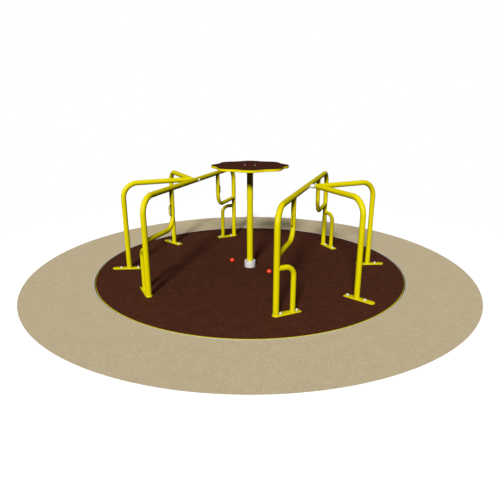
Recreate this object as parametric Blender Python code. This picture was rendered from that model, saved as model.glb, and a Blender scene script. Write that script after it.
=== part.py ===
"""Flush, wheelchair-accessible playground roundabout with a fixed table in the middle.

The axis of rotation is Z and the origin is on it, at the underside of the ground frame. +X is the
axis of the right-hand rail group and the passage for a wheelchair runs along Y. The base, the pit
ring, the spindle, the column and the table stand still; the platform and its rails turn on them.
"""
import math

import bmesh
import bpy
from mathutils import Matrix, Vector

# ---- Driving dimensions, in metres -------------------------------------------------------------
GAP = 0.0003                # between pieces that touch
DECK_TOP = 0.220            # walking surface, level with the ground around the pit
PIT_RADIUS = 1.500          # inside of the fixed ring
PLATFORM_RADIUS = 1.492     # outside of the turning rim
LARGE_SIDES = 64            # facets of a large circle
HUB_SIDES = 24              # facets of a hub-sized circle

RAIL_TUBE, RAIL_WALL = 0.0483, 0.0032
GRAB_TUBE, GRAB_WALL = 0.0424, 0.0026
COLUMN_TUBE, COLUMN_WALL = 0.0603, 0.0036
TUBE_SIDES = 10
STUD_SIDES = 6               # studs, nuts and the holes they pass through

RAIL_HEIGHT = 0.850         # centreline above the deck
ARCH_OFFSET = 0.563         # from the axis to the plane of each arch
ARCH_HALF_LENGTH = 0.998    # from the arch's middle to its legs
RAIL_BEND = 0.140
GRAB_OFFSET = 0.478         # upright of a grab tube, from the leg
GRAB_HEIGHT = 0.486
GRAB_BEND = 0.122
LOOP_OFFSET = 0.150         # upright of a low loop, from the leg
LOOP_HEIGHT = 0.387
LOOP_BEND = 0.075
LOOP_TURN = math.radians(45)    # a low loop and its foot plate, from the square across the arch

FOOT_WIDTH, FOOT_THICK = 0.060, 0.008
ARCH_FOOT = (-0.030, 0.215)     # ends of the plate under a leg and its loop, from the leg
ARCH_BOLTS = (0.041, 0.188)
STAY_FOOT = (0.165, -0.110)     # ends of the plate under a stay, from the leg
STAY_BOLTS = (-0.086, 0.079)

STAY_RADIUS = 1.208         # stay legs, from the axis
STAY_AZIMUTH = math.radians(22.5)
SPACER_LENGTHS, SPACER_RADIUS = {"right": 0.040, "left": 0.012}, 0.020
NECK_LENGTH, NECK_RADIUS = 0.008, 0.010     # thin end of a spacer, against the arch rail
BOLT_RADIUS = 0.006

STRAP_LOW, STRAP_HIGH = 0.614, 0.702
STRAP_REACH = 0.038         # centre of the strap's bar, from the tube's axis less its radius
STRAP_BAR = 0.012

TABLE_TOP = 1.017           # above the deck
TABLE_THICK = 0.024
TABLE_RADIUS, LOBE_DEPTH, LOBES = 0.350, 0.018, 8
LOBE_TURN = math.radians(19.3)
TABLE_BOLT = 0.048          # table bolts, from the centre along both edges of a square

CAP_RADIUS, CAP_HEIGHT, CAP_DISTANCE = 0.0225, 0.026, 0.252
CAP_AZIMUTH = math.radians(-22.5)

COVER_THICK, PANEL_THICK, FRAME_DEEP = 0.008, 0.018, 0.060
RIM_THICK, RIM_DEEP = 0.006, 0.070
COLLAR_RADIUS, COLLAR_HEIGHT = 0.056, 0.066
BASE_THICK, ARM_HALF = 0.012, 0.050
RING_WALL, RING_LIP, RING_FLANGE, RING_EDGE = 0.004, 0.010, 0.015, 0.006
SEAT = 0.012                # how far the hub's parts end below the deck
SPIGOT_LENGTH, COLUMN_FOOT = 0.150, 0.044
TABLE_PLATE, SOCKET_LENGTH, SOCKET_WALL, PLATE_RADIUS = 0.006, 0.045, 0.005, 0.100
SHAFT_RADIUS, SPIGOT_RADIUS = 0.035, 0.0262
BALL_RADIUS, BALLS, BALL_CIRCLE, CAGE_HALF_THICK = 0.007, 10, 0.0455, 0.002

# ---- Heights that follow from them ---------------------------------------------------------------
PANEL_TOP = DECK_TOP - COVER_THICK - GAP
PANEL_LOW = PANEL_TOP - PANEL_THICK
FRAME_TOP = PANEL_LOW - GAP
FRAME_LOW = FRAME_TOP - FRAME_DEEP
DECK_RADIUS = PLATFORM_RADIUS - RIM_THICK - GAP
FOOT_LOW = DECK_TOP + GAP
LEG_LOW = FOOT_LOW + FOOT_THICK + GAP
RAIL_Z = DECK_TOP + RAIL_HEIGHT
APEX = {side: ARCH_OFFSET + RAIL_TUBE + length + 2 * GAP for side, length in SPACER_LENGTHS.items()}
FLANGE_TOP = BASE_THICK + GAP + 0.015
WASHER_THICK = 0.008
BALL_LOW = FLANGE_TOP + WASHER_THICK + 2 * GAP
BALL_TOP = BALL_LOW + 2 * BALL_RADIUS
HOUSING_LOW = BALL_TOP + WASHER_THICK + 2 * GAP
SHAFT_TOP = DECK_TOP - 0.010
HOUSING_BORE = 0.045
BUSH_LOW = 0.140

# ---- Finishes --------------------------------------------------------------------------------------


def finish(name, colour, roughness, metallic=0.0):
    """A Principled material from a hex colour."""
    made = bpy.data.materials.new(name)
    made.use_nodes = True
    shader = made.node_tree.nodes["Principled BSDF"]
    srgb = [int(colour[i:i + 2], 16) / 255 for i in (0, 2, 4)]
    linear = [c / 12.92 if c <= 0.04045 else ((c + 0.055) / 1.055) ** 2.4 for c in srgb]
    shader.inputs["Base Color"].default_value = (*linear, 1.0)
    shader.inputs["Roughness"].default_value = roughness
    shader.inputs["Metallic"].default_value = metallic
    made.diffuse_color = (*linear, 1.0)
    return made


for old in list(bpy.data.objects):
    bpy.data.objects.remove(old)

YELLOW = finish("yellow_powder_coat", "E0D004", 0.32)
GALVANISED = finish("galvanised_steel", "C9CCCB", 0.45, 0.9)
STAINLESS = finish("stainless_steel", "D5D6D6", 0.25, 1.0)
RUBBER = finish("brown_rubber", "4A2D22", 0.85)
PLYWOOD = finish("plywood", "8A6444", 0.7)
TABLE_BOARD = finish("table_board", "3E2118", 0.5)
RED_PLASTIC = finish("red_plastic", "E8361A", 0.35)
BRONZE = finish("bronze", "A9793B", 0.35, 1.0)
BEARING_STEEL = finish("bearing_steel", "9DA0A3", 0.2, 1.0)


# ---- Making shapes ---------------------------------------------------------------------------------


def empty(name):
    """An empty on the axis that carries the pieces of one body."""
    carrier = bpy.data.objects.new(name, None)
    bpy.context.collection.objects.link(carrier)
    return carrier


GROUND_BODY = empty("ground_body")
PLATFORM_BODY = empty("platform_body")
CAGE_BODY = empty("cage_body")


def piece(name, bm, material=None, body=None, at=(0, 0, 0), turn=0.0):
    """Turn a bmesh into a named object; with no material it becomes a cutter."""
    bmesh.ops.remove_doubles(bm, verts=bm.verts[:], dist=1e-6)
    bmesh.ops.recalc_face_normals(bm, faces=bm.faces[:])
    mesh = bpy.data.meshes.new(name)
    bm.to_mesh(mesh)
    bm.free()
    made = bpy.data.objects.new(name, mesh)
    bpy.context.collection.objects.link(made)
    made.location = at
    made.rotation_euler = (0, 0, turn)
    made.parent = body
    if material:
        mesh.materials.append(material)
        mesh.shade_smooth()
        mesh.set_sharp_from_angle(angle=math.radians(35))
    else:
        made.hide_render = True
        made.display_type = "WIRE"
    return made


def boolean(target, tool, operation="DIFFERENCE"):
    """Cut the target by the tool, or join the tool to it."""
    change = target.modifiers.new(operation.lower(), "BOOLEAN")
    change.operation = operation
    change.object = tool
    change.solver = "EXACT"


def loft(rings, closed=False):
    """Skin a row of equal rings; an open row is capped at its two ends."""
    bm = bmesh.new()
    rows = [[bm.verts.new(point) for point in ring] for ring in rings]
    for near, far in zip(rows, rows[1:] + rows[:1] if closed else rows[1:]):
        for i, corner in enumerate(near):
            j = (i + 1) % len(near)
            bm.faces.new((corner, near[j], far[j], far[i]))
    if not closed:
        bm.faces.new(rows[0])
        bm.faces.new(rows[-1])
    return bm


def circle(radius, sides, centre=(0, 0)):
    """Points of a circle in plan, with a facet facing +X."""
    steps = [(i + 0.5) * math.tau / sides for i in range(sides)]
    return [(centre[0] + radius * math.cos(a), centre[1] + radius * math.sin(a)) for a in steps]


def turned(profile, sides=HUB_SIDES, start=0.0, sweep=math.tau):
    """Turn a closed outline of (radius, height) about Z, all the way round or through an arc."""
    whole = sweep == math.tau
    count = sides if whole else sides + 1
    angles = [start + (i + (0.5 if whole else 0.0)) * sweep / sides for i in range(count)]
    rings = [[(r * math.cos(a), r * math.sin(a), z) for r, z in profile] for a in angles]
    return loft(rings, closed=whole)


def plate(loops, low, high):
    """Extrude a flat outline with holes: the first loop is the outside, the rest are holes."""
    bm = bmesh.new()
    edges = []
    for loop in loops:
        verts = [bm.verts.new((x, y, low)) for x, y in loop]
        edges += [bm.edges.new((verts[i - 1], vert)) for i, vert in enumerate(verts)]
    bmesh.ops.triangle_fill(bm, use_beauty=True, edges=edges)
    lifted = bmesh.ops.extrude_face_region(bm, geom=bm.faces[:])["geom"]
    verts = [item for item in lifted if isinstance(item, bmesh.types.BMVert)]
    bmesh.ops.translate(bm, vec=(0, 0, high - low), verts=verts)
    return bm


def route(points, radius, steps=4):
    """A planar run of straight lengths whose corners are rounded with arcs."""
    points = [Vector(point) for point in points]
    path = [points[0]]
    for before, corner, after in zip(points, points[1:], points[2:]):
        back, on = (before - corner).normalized(), (after - corner).normalized()
        half = back.angle(on) / 2
        centre = corner + (back + on).normalized() * radius / math.sin(half)
        start = corner + back * radius / math.tan(half) - centre
        for i in range(steps + 1):
            spin = Matrix.Rotation(-(math.pi - 2 * half) * i / steps, 3, back.cross(on))
            path.append(centre + spin @ start)
    return path + [points[-1]]


def sections(path, normal, radius, sides):
    """Round sections along a planar path, square to it and mitred at its bends."""
    normal = Vector(normal)
    runs = [(b - a).normalized() for a, b in zip(path, path[1:])]
    angles = [(i + 0.5) * math.tau / sides for i in range(sides)]
    rings = []
    for point, before, after in zip(path, runs[:1] + runs, runs + runs[-1:]):
        side = (before + after).normalized().cross(normal) / math.cos(before.angle(after) / 2)
        rings.append([point + radius * (math.cos(a) * side + math.sin(a) * normal) for a in angles])
    return rings


def bar(path, normal, diameter, sides=TUBE_SIDES):
    """A solid round bar along a path."""
    return loft(sections(path, normal, diameter / 2, sides))


def tube(path, normal, diameter, wall, sides=TUBE_SIDES):
    """A round tube along a path, open at both ends."""
    outside = sections(path, normal, diameter / 2, sides)
    inside = sections(path, normal, diameter / 2 - wall, sides)
    lengthwise = list(zip(*(outside + inside[::-1])))
    return loft(lengthwise, closed=True)


def flat_bar(ends, width, sides=6):
    """Outline of a flat bar along X, round at its first end and square at the other."""
    half = width / 2
    facing = 1 if ends[1] > ends[0] else -1
    outline = [(ends[1], -half), (ends[1], half)]
    for i in range(sides + 1):
        a = math.pi / 2 + math.pi * i / sides
        outline.append((ends[0] + facing * half * (1 + math.cos(a)), half * math.sin(a)))
    return outline


def running(radius, sides=HUB_SIDES):
    """Bore radius whose flats clear a round piece that turns inside it."""
    return (radius + GAP) / math.cos(math.pi / sides)


def clearance(path, normal, diameter, name, **place):
    """A cutter that leaves the usual gap round a tube."""
    fatter = diameter + 2 * GAP / math.cos(math.pi / TUBE_SIDES)
    return piece(name, bar(path, normal, fatter), **place)


# ---- Ground frame: flat cross on the footing, and the ring of the pit ---------------------------------

cross = []
for quarter in range(4):
    a = quarter * math.pi / 2
    for x, y in ((PIT_RADIUS + RING_WALL, -ARM_HALF), (PIT_RADIUS + RING_WALL, ARM_HALF), (0.24, ARM_HALF)):
        cross.append((x * math.cos(a) - y * math.sin(a), x * math.sin(a) + y * math.cos(a)))
    cross.append((0.20 * math.cos(a + math.pi / 4), 0.20 * math.sin(a + math.pi / 4)))
    x, y = 0.24, -ARM_HALF
    b = a + math.pi / 2
    cross.append((x * math.cos(b) - y * math.sin(b), x * math.sin(b) + y * math.cos(b)))
anchors = [circle(0.009, 8, (math.cos(k * math.pi / 2) * r, math.sin(k * math.pi / 2) * r))
           for k in range(4) for r in (0.165, 1.41)]
piece("base_frame", plate([cross] + anchors, 0.0, BASE_THICK), GALVANISED, GROUND_BODY)

RING_LOW = BASE_THICK + GAP
ring_profile = [
    (PIT_RADIUS - RING_FLANGE, RING_LOW), (PIT_RADIUS + RING_WALL, RING_LOW),
    (PIT_RADIUS + RING_WALL, DECK_TOP - RING_EDGE), (PIT_RADIUS + RING_LIP, DECK_TOP - RING_EDGE),
    (PIT_RADIUS + RING_LIP, DECK_TOP), (PIT_RADIUS, DECK_TOP),
    (PIT_RADIUS, RING_LOW + RING_EDGE), (PIT_RADIUS - RING_FLANGE, RING_LOW + RING_EDGE),
]
seam = GAP / 2 / PIT_RADIUS
for quarter, side in enumerate(("right_back", "left_back", "left_front", "right_front")):
    start = quarter * math.pi / 2 + seam
    ring = turned(ring_profile, LARGE_SIDES // 4, start, math.pi / 2 - 2 * seam)
    piece(f"pit_ring_{side}", ring, GALVANISED, GROUND_BODY)

# ---- Spindle, bearings and hub --------------------------------------------------------------------------

spindle = [
    (0, BASE_THICK + GAP), (0.110, BASE_THICK + GAP), (0.110, FLANGE_TOP),
    (SHAFT_RADIUS, FLANGE_TOP), (SHAFT_RADIUS, SHAFT_TOP), (SPIGOT_RADIUS, SHAFT_TOP),
    (SPIGOT_RADIUS, SHAFT_TOP + SPIGOT_LENGTH), (0, SHAFT_TOP + SPIGOT_LENGTH),
]
piece("spindle", turned(spindle), STAINLESS, GROUND_BODY)


def washer(inner, outer, low, high):
    """Closed outline of a plain ring."""
    return [(inner, low), (outer, low), (outer, high), (inner, high)]


RACE_BORE, RACE_RADIUS = running(SHAFT_RADIUS), 0.055
piece("thrust_race_lower", turned(washer(RACE_BORE, RACE_RADIUS, FLANGE_TOP + GAP, BALL_LOW - GAP)),
      BEARING_STEEL, GROUND_BODY)
piece("thrust_race_upper", turned(washer(RACE_BORE, RACE_RADIUS, BALL_TOP + GAP, HOUSING_LOW - GAP)),
      BEARING_STEEL, PLATFORM_BODY)

ball_centre = (BALL_LOW + BALL_TOP) / 2
cage_plate = washer(RACE_BORE, RACE_RADIUS, ball_centre - CAGE_HALF_THICK, ball_centre + CAGE_HALF_THICK)
cage = piece("thrust_ball_cage", turned(cage_plate), BEARING_STEEL, CAGE_BODY)
balls = bmesh.new()
for k in range(BALLS):
    a = k * math.tau / BALLS
    spot = Matrix.Translation((BALL_CIRCLE * math.cos(a), BALL_CIRCLE * math.sin(a), ball_centre))
    bmesh.ops.create_uvsphere(balls, u_segments=6, v_segments=4, radius=BALL_RADIUS, matrix=spot)
boolean(cage, piece("ball_tool", balls), "UNION")

housing = [
    (HOUSING_BORE, HOUSING_LOW), (0.055, HOUSING_LOW), (0.055, FRAME_LOW - GAP - 0.012),
    (0.160, FRAME_LOW - GAP - 0.012), (0.160, FRAME_LOW - GAP), (0.055, FRAME_LOW - GAP),
    (0.055, DECK_TOP - SEAT), (HOUSING_BORE, DECK_TOP - SEAT),
]
piece("hub_housing", turned(housing), GALVANISED, PLATFORM_BODY)
piece("hub_bush", turned(washer(RACE_BORE, HOUSING_BORE - 2 * GAP, BUSH_LOW, SHAFT_TOP - 2 * GAP)),
      BRONZE, PLATFORM_BODY)

collar_bore = running(COLUMN_TUBE / 2 + 0.001)
foot_bore = running(COLUMN_FOOT)
collar = [
    (foot_bore, DECK_TOP - SEAT + GAP), (COLLAR_RADIUS, DECK_TOP - SEAT + GAP),
    (COLLAR_RADIUS, DECK_TOP + COLLAR_HEIGHT - 0.003),
    (COLLAR_RADIUS - 0.003, DECK_TOP + COLLAR_HEIGHT), (collar_bore, DECK_TOP + COLLAR_HEIGHT),
    (collar_bore, DECK_TOP), (foot_bore, DECK_TOP),
]
piece("hub_collar", turned(collar), STAINLESS, PLATFORM_BODY)

# ---- Column and table -------------------------------------------------------------------------------------

BOARD_LOW = DECK_TOP + TABLE_TOP - TABLE_THICK
COLUMN_TOP = BOARD_LOW - TABLE_PLATE - 3 * GAP
column_out, column_in = COLUMN_TUBE / 2, COLUMN_TUBE / 2 - COLUMN_WALL
column = [
    (column_in, SHAFT_TOP + GAP), (COLUMN_FOOT, SHAFT_TOP + GAP), (COLUMN_FOOT, SHAFT_TOP + 0.006),
    (column_out, SHAFT_TOP + 0.006), (column_out, COLUMN_TOP), (column_in, COLUMN_TOP),
]
piece("column_tube", turned(column), YELLOW, GROUND_BODY)

socket_in = column_out + 2 * GAP
flange_low = BOARD_LOW - GAP - TABLE_PLATE
flange = [
    (0, flange_low), (socket_in, flange_low),
    (socket_in, COLUMN_TOP - SOCKET_LENGTH), (socket_in + SOCKET_WALL, COLUMN_TOP - SOCKET_LENGTH),
    (socket_in + SOCKET_WALL, flange_low), (PLATE_RADIUS, flange_low),
    (PLATE_RADIUS, BOARD_LOW - GAP), (0, BOARD_LOW - GAP),
]
table_flange = piece("table_flange", turned(flange), YELLOW, GROUND_BODY)


def stud(foot, seat, spot, shank, head, height):
    """A stud that starts inside a plate at foot and ends in a domed head or nut on seat."""
    profile = [
        (0, foot), (shank, foot), (shank, seat), (head, seat), (head, seat + 0.47 * height),
        (0.75 * head, seat + 0.82 * height), (0, seat + height),
    ]
    bm = turned(profile, STUD_SIDES)
    bmesh.ops.translate(bm, vec=(spot[0], spot[1], 0), verts=bm.verts[:])
    return bm


def joined(parts):
    """One bmesh holding several separate ones."""
    whole = bmesh.new()
    for part in parts:
        mesh = bpy.data.meshes.new("part")
        part.to_mesh(mesh)
        part.free()
        whole.from_mesh(mesh)
    return whole


def in_plan(x, y, turn):
    """Turn a point in plan about the origin."""
    return (x * math.cos(turn) - y * math.sin(turn), x * math.sin(turn) + y * math.cos(turn))


table_bolts = [in_plan(i * TABLE_BOLT, j * TABLE_BOLT, LOBE_TURN) for i in (-1, 1) for j in (-1, 1)]
seat = DECK_TOP + TABLE_TOP + GAP
table_studs = joined([stud(BOARD_LOW - GAP - 0.003, seat, spot, 0.004, 0.010, 0.006) for spot in table_bolts])
boolean(table_flange, piece("table_stud_tool", table_studs), "UNION")

TABLE_STEPS = 64
lobed = []
for i in range(TABLE_STEPS):
    a = i * math.tau / TABLE_STEPS
    r = TABLE_RADIUS + LOBE_DEPTH * math.cos(LOBES * a)
    lobed.append(in_plan(r * math.cos(a), r * math.sin(a), LOBE_TURN))
bolt_holes = [circle(0.004 + 2 * GAP, STUD_SIDES, spot) for spot in table_bolts]
piece("table_board", plate([lobed] + bolt_holes, BOARD_LOW, DECK_TOP + TABLE_TOP), TABLE_BOARD, GROUND_BODY)

# ---- Rails: two arches, each with a stay frame, four grab tubes and four low loops ------------------------

arch_path = route([(0, -ARCH_HALF_LENGTH, LEG_LOW), (0, -ARCH_HALF_LENGTH, RAIL_Z),
                   (0, ARCH_HALF_LENGTH, RAIL_Z), (0, ARCH_HALF_LENGTH, LEG_LOW)], RAIL_BEND)
grab_path = route([(0, 0, DECK_TOP + GRAB_HEIGHT), (GRAB_OFFSET, 0, DECK_TOP + GRAB_HEIGHT),
                   (GRAB_OFFSET, 0, RAIL_Z)], GRAB_BEND)
loop_path = route([(0, 0, DECK_TOP + LOOP_HEIGHT), (LOOP_OFFSET, 0, DECK_TOP + LOOP_HEIGHT),
                   (LOOP_OFFSET, 0, LEG_LOW)], LOOP_BEND)
strap_root = GRAB_OFFSET - GRAB_TUBE / 2 + 0.0022
strap_bend = GRAB_OFFSET - GRAB_TUBE / 2 - STRAP_REACH
strap_path = route([(strap_root, 0, DECK_TOP + STRAP_LOW), (strap_bend, 0, DECK_TOP + STRAP_LOW),
                    (strap_bend, 0, DECK_TOP + STRAP_HIGH), (strap_root, 0, DECK_TOP + STRAP_HIGH)], 0.02, 3)

stud_spots = []             # every place where a stud comes up through the deck


def foot(name, spot, turn, ends, bolts):
    """A foot plate on the deck, and the clamp bar under the deck whose studs hold it."""
    holes = [circle(BOLT_RADIUS + 2 * GAP, STUD_SIDES, (x, 0)) for x in bolts]
    outline = flat_bar(ends, FOOT_WIDTH)
    piece(f"foot_plate_{name}", plate([outline] + holes, FOOT_LOW, FOOT_LOW + FOOT_THICK),
          YELLOW, PLATFORM_BODY, (*spot, 0), turn)
    clamp_top = PANEL_LOW - GAP
    clamp_bar = flat_bar((bolts[0] - 0.03, bolts[1] + 0.03), 0.050)
    clamp = piece(f"foot_clamp_{name}", plate([clamp_bar], clamp_top - 0.008, clamp_top),
                  STAINLESS, PLATFORM_BODY, (*spot, 0), turn)
    nuts = [stud(clamp_top - 0.004, LEG_LOW, (x, 0), BOLT_RADIUS, 0.0095, 0.016) for x in bolts]
    boolean(clamp, piece(f"stud_tool_{name}", joined(nuts), at=(*spot, 0), turn=turn), "UNION")
    for x in bolts:
        dx, dy = in_plan(x, 0, turn)
        stud_spots.append((spot[0] + dx, spot[1] + dy))


for side, facing in (("right", 0.0), ("left", math.pi)):
    east = 1 if side == "right" else -1
    arch_place = {"at": (east * ARCH_OFFSET, 0, 0), "turn": facing}
    arch = piece(f"arch_rail_{side}", tube(arch_path, (1, 0, 0), RAIL_TUBE, RAIL_WALL), YELLOW,
                 PLATFORM_BODY, **arch_place)
    arch_room = clearance(arch_path, (1, 0, 0), RAIL_TUBE, f"arch_room_{side}", **arch_place)

    # A stay runs level from the apex to above its foot, then straight down.
    stay_x = STAY_RADIUS * math.cos(STAY_AZIMUTH) - APEX[side]
    stay_y = STAY_RADIUS * math.sin(STAY_AZIMUTH)
    stay_reach = math.hypot(stay_x, stay_y)
    stay_path = route([(0, 0, RAIL_Z), (stay_reach, 0, RAIL_Z), (stay_reach, 0, LEG_LOW)], RAIL_BEND)

    # The bolt lies along local X through the rail and the spacer and ends in the apex block.
    along = Matrix.Translation((0, 0, RAIL_Z)) @ Matrix.Rotation(math.pi / 2, 4, "Y")
    head = -RAIL_TUBE / 2 - 2 * GAP
    tip = APEX[side] - ARCH_OFFSET + 0.010
    bolt = turned([(0, tip), (BOLT_RADIUS, tip), (BOLT_RADIUS, head), (0.013, head),
                   (0.013, head - 0.007), (0.008, head - 0.0125), (0, head - 0.014)], 8)
    bmesh.ops.transform(bolt, matrix=along, verts=bolt.verts[:])
    piece(f"stay_bolt_{side}", bolt, STAINLESS, PLATFORM_BODY, **arch_place)
    drill = turned([(0, -0.06), (BOLT_RADIUS + 2 * GAP, -0.06), (BOLT_RADIUS + 2 * GAP, tip + GAP),
                    (0, tip + GAP)], 8)
    bmesh.ops.transform(drill, matrix=along, verts=drill.verts[:])
    bolt_room = piece(f"bolt_room_{side}", drill, **arch_place)
    boolean(arch, bolt_room)

    bore, near = BOLT_RADIUS + 2 * GAP, RAIL_TUBE / 2
    far = APEX[side] - ARCH_OFFSET - RAIL_TUBE / 2 - GAP
    spacer = turned([(bore, near - 0.010), (NECK_RADIUS, near - 0.010), (NECK_RADIUS, near + NECK_LENGTH),
                     (SPACER_RADIUS, near + NECK_LENGTH), (SPACER_RADIUS, far), (bore, far)], 16)
    bmesh.ops.transform(spacer, matrix=along, verts=spacer.verts[:])
    spacer = piece(f"stay_spacer_{side}", spacer, STAINLESS, PLATFORM_BODY, **arch_place)
    boolean(spacer, arch_room)

    apex_at = (east * APEX[side], 0, 0)
    nose = RAIL_TUBE / 2
    block = turned([(0, RAIL_Z - 0.024), (nose - 0.004, RAIL_Z - 0.024), (nose, RAIL_Z - 0.018),
                    (nose, RAIL_Z + 0.018), (nose - 0.004, RAIL_Z + 0.024), (0, RAIL_Z + 0.024)], TUBE_SIDES)
    apex = piece(f"stay_apex_{side}", block, YELLOW, PLATFORM_BODY, apex_at)
    boolean(apex, bolt_room)
    block = turned(washer(0, running(nose, TUBE_SIDES), RAIL_Z - 0.06, RAIL_Z + 0.06), TUBE_SIDES)
    apex_room = piece(f"apex_room_{side}", block, at=apex_at)

    for end, north in (("front", -1), ("back", 1)):
        name = f"{side}_{end}"
        leg = (east * ARCH_OFFSET, north * ARCH_HALF_LENGTH)
        inward = {"at": (*leg, 0), "turn": -north * math.pi / 2}
        grab = piece(f"grab_tube_{name}", tube(grab_path, (0, 1, 0), GRAB_TUBE, GRAB_WALL), YELLOW,
                     PLATFORM_BODY, **inward)
        strap = bar(strap_path, (0, 1, 0), STRAP_BAR, 8)
        boolean(grab, piece(f"strap_tool_{name}", strap, **inward), "UNION")
        boolean(grab, arch_room)

        outward = facing - east * north * LOOP_TURN
        loop = piece(f"low_loop_{name}", tube(loop_path, (0, 1, 0), GRAB_TUBE, GRAB_WALL), YELLOW,
                     PLATFORM_BODY, (*leg, 0), outward)
        boolean(loop, arch_room)
        foot(f"arch_{name}", leg, outward, ARCH_FOOT, ARCH_BOLTS)

        stay_turn = facing + east * north * math.atan2(stay_y, stay_x)
        stay = piece(f"stay_tube_{name}", tube(stay_path, (0, 1, 0), RAIL_TUBE, RAIL_WALL), YELLOW,
                     PLATFORM_BODY, apex_at, stay_turn)
        boolean(stay, apex_room)
        beyond = ((-0.08, -0.08), (0.08, -0.08), (0.08, GAP / 2), (-0.08, GAP / 2))
        far_half = [(x, north * y) for x, y in beyond]
        mitre = plate([far_half], RAIL_Z - 0.05, RAIL_Z + 0.05)
        boolean(stay, piece(f"mitre_tool_{name}", mitre, at=apex_at))
        azimuth = facing + east * north * STAY_AZIMUTH
        foot(f"stay_{name}", in_plan(STAY_RADIUS, 0, azimuth), azimuth, STAY_FOOT, STAY_BOLTS)

# ---- Platform: frame, rim, deck panels, rubber covering and two red caps -----------------------------------

ARM_HALF_THICK, FRAME_HUB, FRAME_ARMS = 0.008, 0.092, 8
arm_root = math.sqrt(FRAME_HUB ** 2 - ARM_HALF_THICK ** 2)
arm_end = (DECK_RADIUS - GAP) * math.cos(math.pi / LARGE_SIDES)
star = []
for k in range(FRAME_ARMS):
    arm = ((arm_root, -ARM_HALF_THICK), (arm_end, -ARM_HALF_THICK), (arm_end, ARM_HALF_THICK),
           (arm_root, ARM_HALF_THICK))
    star += [in_plan(x, y, k * math.tau / FRAME_ARMS) for x, y in arm]
    star.append(in_plan(FRAME_HUB, 0, (k + 0.5) * math.tau / FRAME_ARMS))
hub_hole = circle(running(0.055), HUB_SIDES)
piece("platform_frame", plate([star, hub_hole], FRAME_LOW, FRAME_TOP), GALVANISED, PLATFORM_BODY)
rim = washer(PLATFORM_RADIUS - RIM_THICK, PLATFORM_RADIUS, DECK_TOP - RIM_DEEP, DECK_TOP)
piece("platform_rim", turned(rim, LARGE_SIDES), YELLOW, PLATFORM_BODY)

PEG_RADIUS, CAP_SIDES = 0.009, 10
cap_spots = [in_plan(CAP_DISTANCE, 0, CAP_AZIMUTH + k * math.pi) for k in range(2)]
small_holes = [circle(running(BOLT_RADIUS, STUD_SIDES), STUD_SIDES, spot) for spot in stud_spots]
small_holes += [circle(PEG_RADIUS + 2 * GAP, CAP_SIDES, spot) for spot in cap_spots]
collar_hole = circle(running(COLLAR_RADIUS), HUB_SIDES)
piece("deck_covering", plate([circle(DECK_RADIUS, LARGE_SIDES), collar_hole] + small_holes,
                             DECK_TOP - COVER_THICK, DECK_TOP), RUBBER, PLATFORM_BODY)


def half_circle(radius, sides):
    """The half of a circle on the +X side, from -Y to +Y, up to the seam between the panels."""
    flat = radius * math.cos(math.pi / sides)
    points = sorted((point for point in circle(radius, sides) if point[0] > 0), key=lambda point: point[1])
    return [(GAP / 2, -flat)] + points + [(GAP / 2, flat)]


half_disc = half_circle(DECK_RADIUS, LARGE_SIDES) + half_circle(running(0.057), HUB_SIDES)[::-1]
for side, east in (("right", 1), ("left", -1)):
    outline = [(east * x, y) for x, y in half_disc]
    holes = [loop for loop in small_holes if east * loop[0][0] > 0]
    piece(f"deck_panel_{side}", plate([outline] + holes, PANEL_LOW, PANEL_TOP), PLYWOOD, PLATFORM_BODY)

dome = [(0, PANEL_TOP - 0.012), (PEG_RADIUS, PANEL_TOP - 0.012), (PEG_RADIUS, DECK_TOP + GAP)]
DOME_STEPS = 3
for i in range(DOME_STEPS + 1):
    a = i * math.pi / 2 / DOME_STEPS
    dome.append((CAP_RADIUS * math.cos(a), DECK_TOP + GAP + 0.003 + (CAP_HEIGHT - 0.003) * math.sin(a)))
dome.insert(3, (CAP_RADIUS, DECK_TOP + GAP))
for spot, side in zip(cap_spots, ("right", "left")):
    piece(f"access_cap_{side}", turned(dome, CAP_SIDES), RED_PLASTIC, PLATFORM_BODY, (*spot, 0))
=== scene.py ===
"""Looks of a flush, wheelchair-accessible roundabout, dressed piece by piece on its frame."""
import math

import bmesh
import bpy
import numpy as np
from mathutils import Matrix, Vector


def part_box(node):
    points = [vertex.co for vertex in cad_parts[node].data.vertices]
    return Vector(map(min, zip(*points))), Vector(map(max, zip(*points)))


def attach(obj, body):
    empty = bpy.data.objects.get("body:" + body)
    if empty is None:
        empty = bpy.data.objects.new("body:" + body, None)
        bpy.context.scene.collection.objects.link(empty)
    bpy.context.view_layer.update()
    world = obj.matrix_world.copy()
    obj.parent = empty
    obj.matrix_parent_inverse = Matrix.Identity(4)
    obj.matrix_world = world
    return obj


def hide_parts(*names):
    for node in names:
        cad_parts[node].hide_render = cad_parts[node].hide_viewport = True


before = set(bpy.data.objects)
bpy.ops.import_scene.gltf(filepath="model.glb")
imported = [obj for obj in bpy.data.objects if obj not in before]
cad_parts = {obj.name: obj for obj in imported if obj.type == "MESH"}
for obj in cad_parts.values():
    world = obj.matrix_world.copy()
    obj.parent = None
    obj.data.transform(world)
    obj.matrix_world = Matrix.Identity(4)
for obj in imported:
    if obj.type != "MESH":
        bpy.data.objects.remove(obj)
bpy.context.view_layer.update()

# ---- Ground frame ---------------------------------------------------------------------------
# A cross of flat steel bars with a plate at its middle, anchored to the footing at the bottom of
# the pit. Cut from plate and hot-dip galvanised, which leaves a grey skin of zinc crystals.


def linear(colour):
    """An sRGB hex colour as linear red, green, blue and alpha."""
    values = np.array([int(colour[i:i + 2], 16) for i in (0, 2, 4)]) / 255
    values = np.where(values <= 0.04045, values / 12.92, ((values + 0.055) / 1.055) ** 2.4)
    return (*values.tolist(), 1.0)


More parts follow.
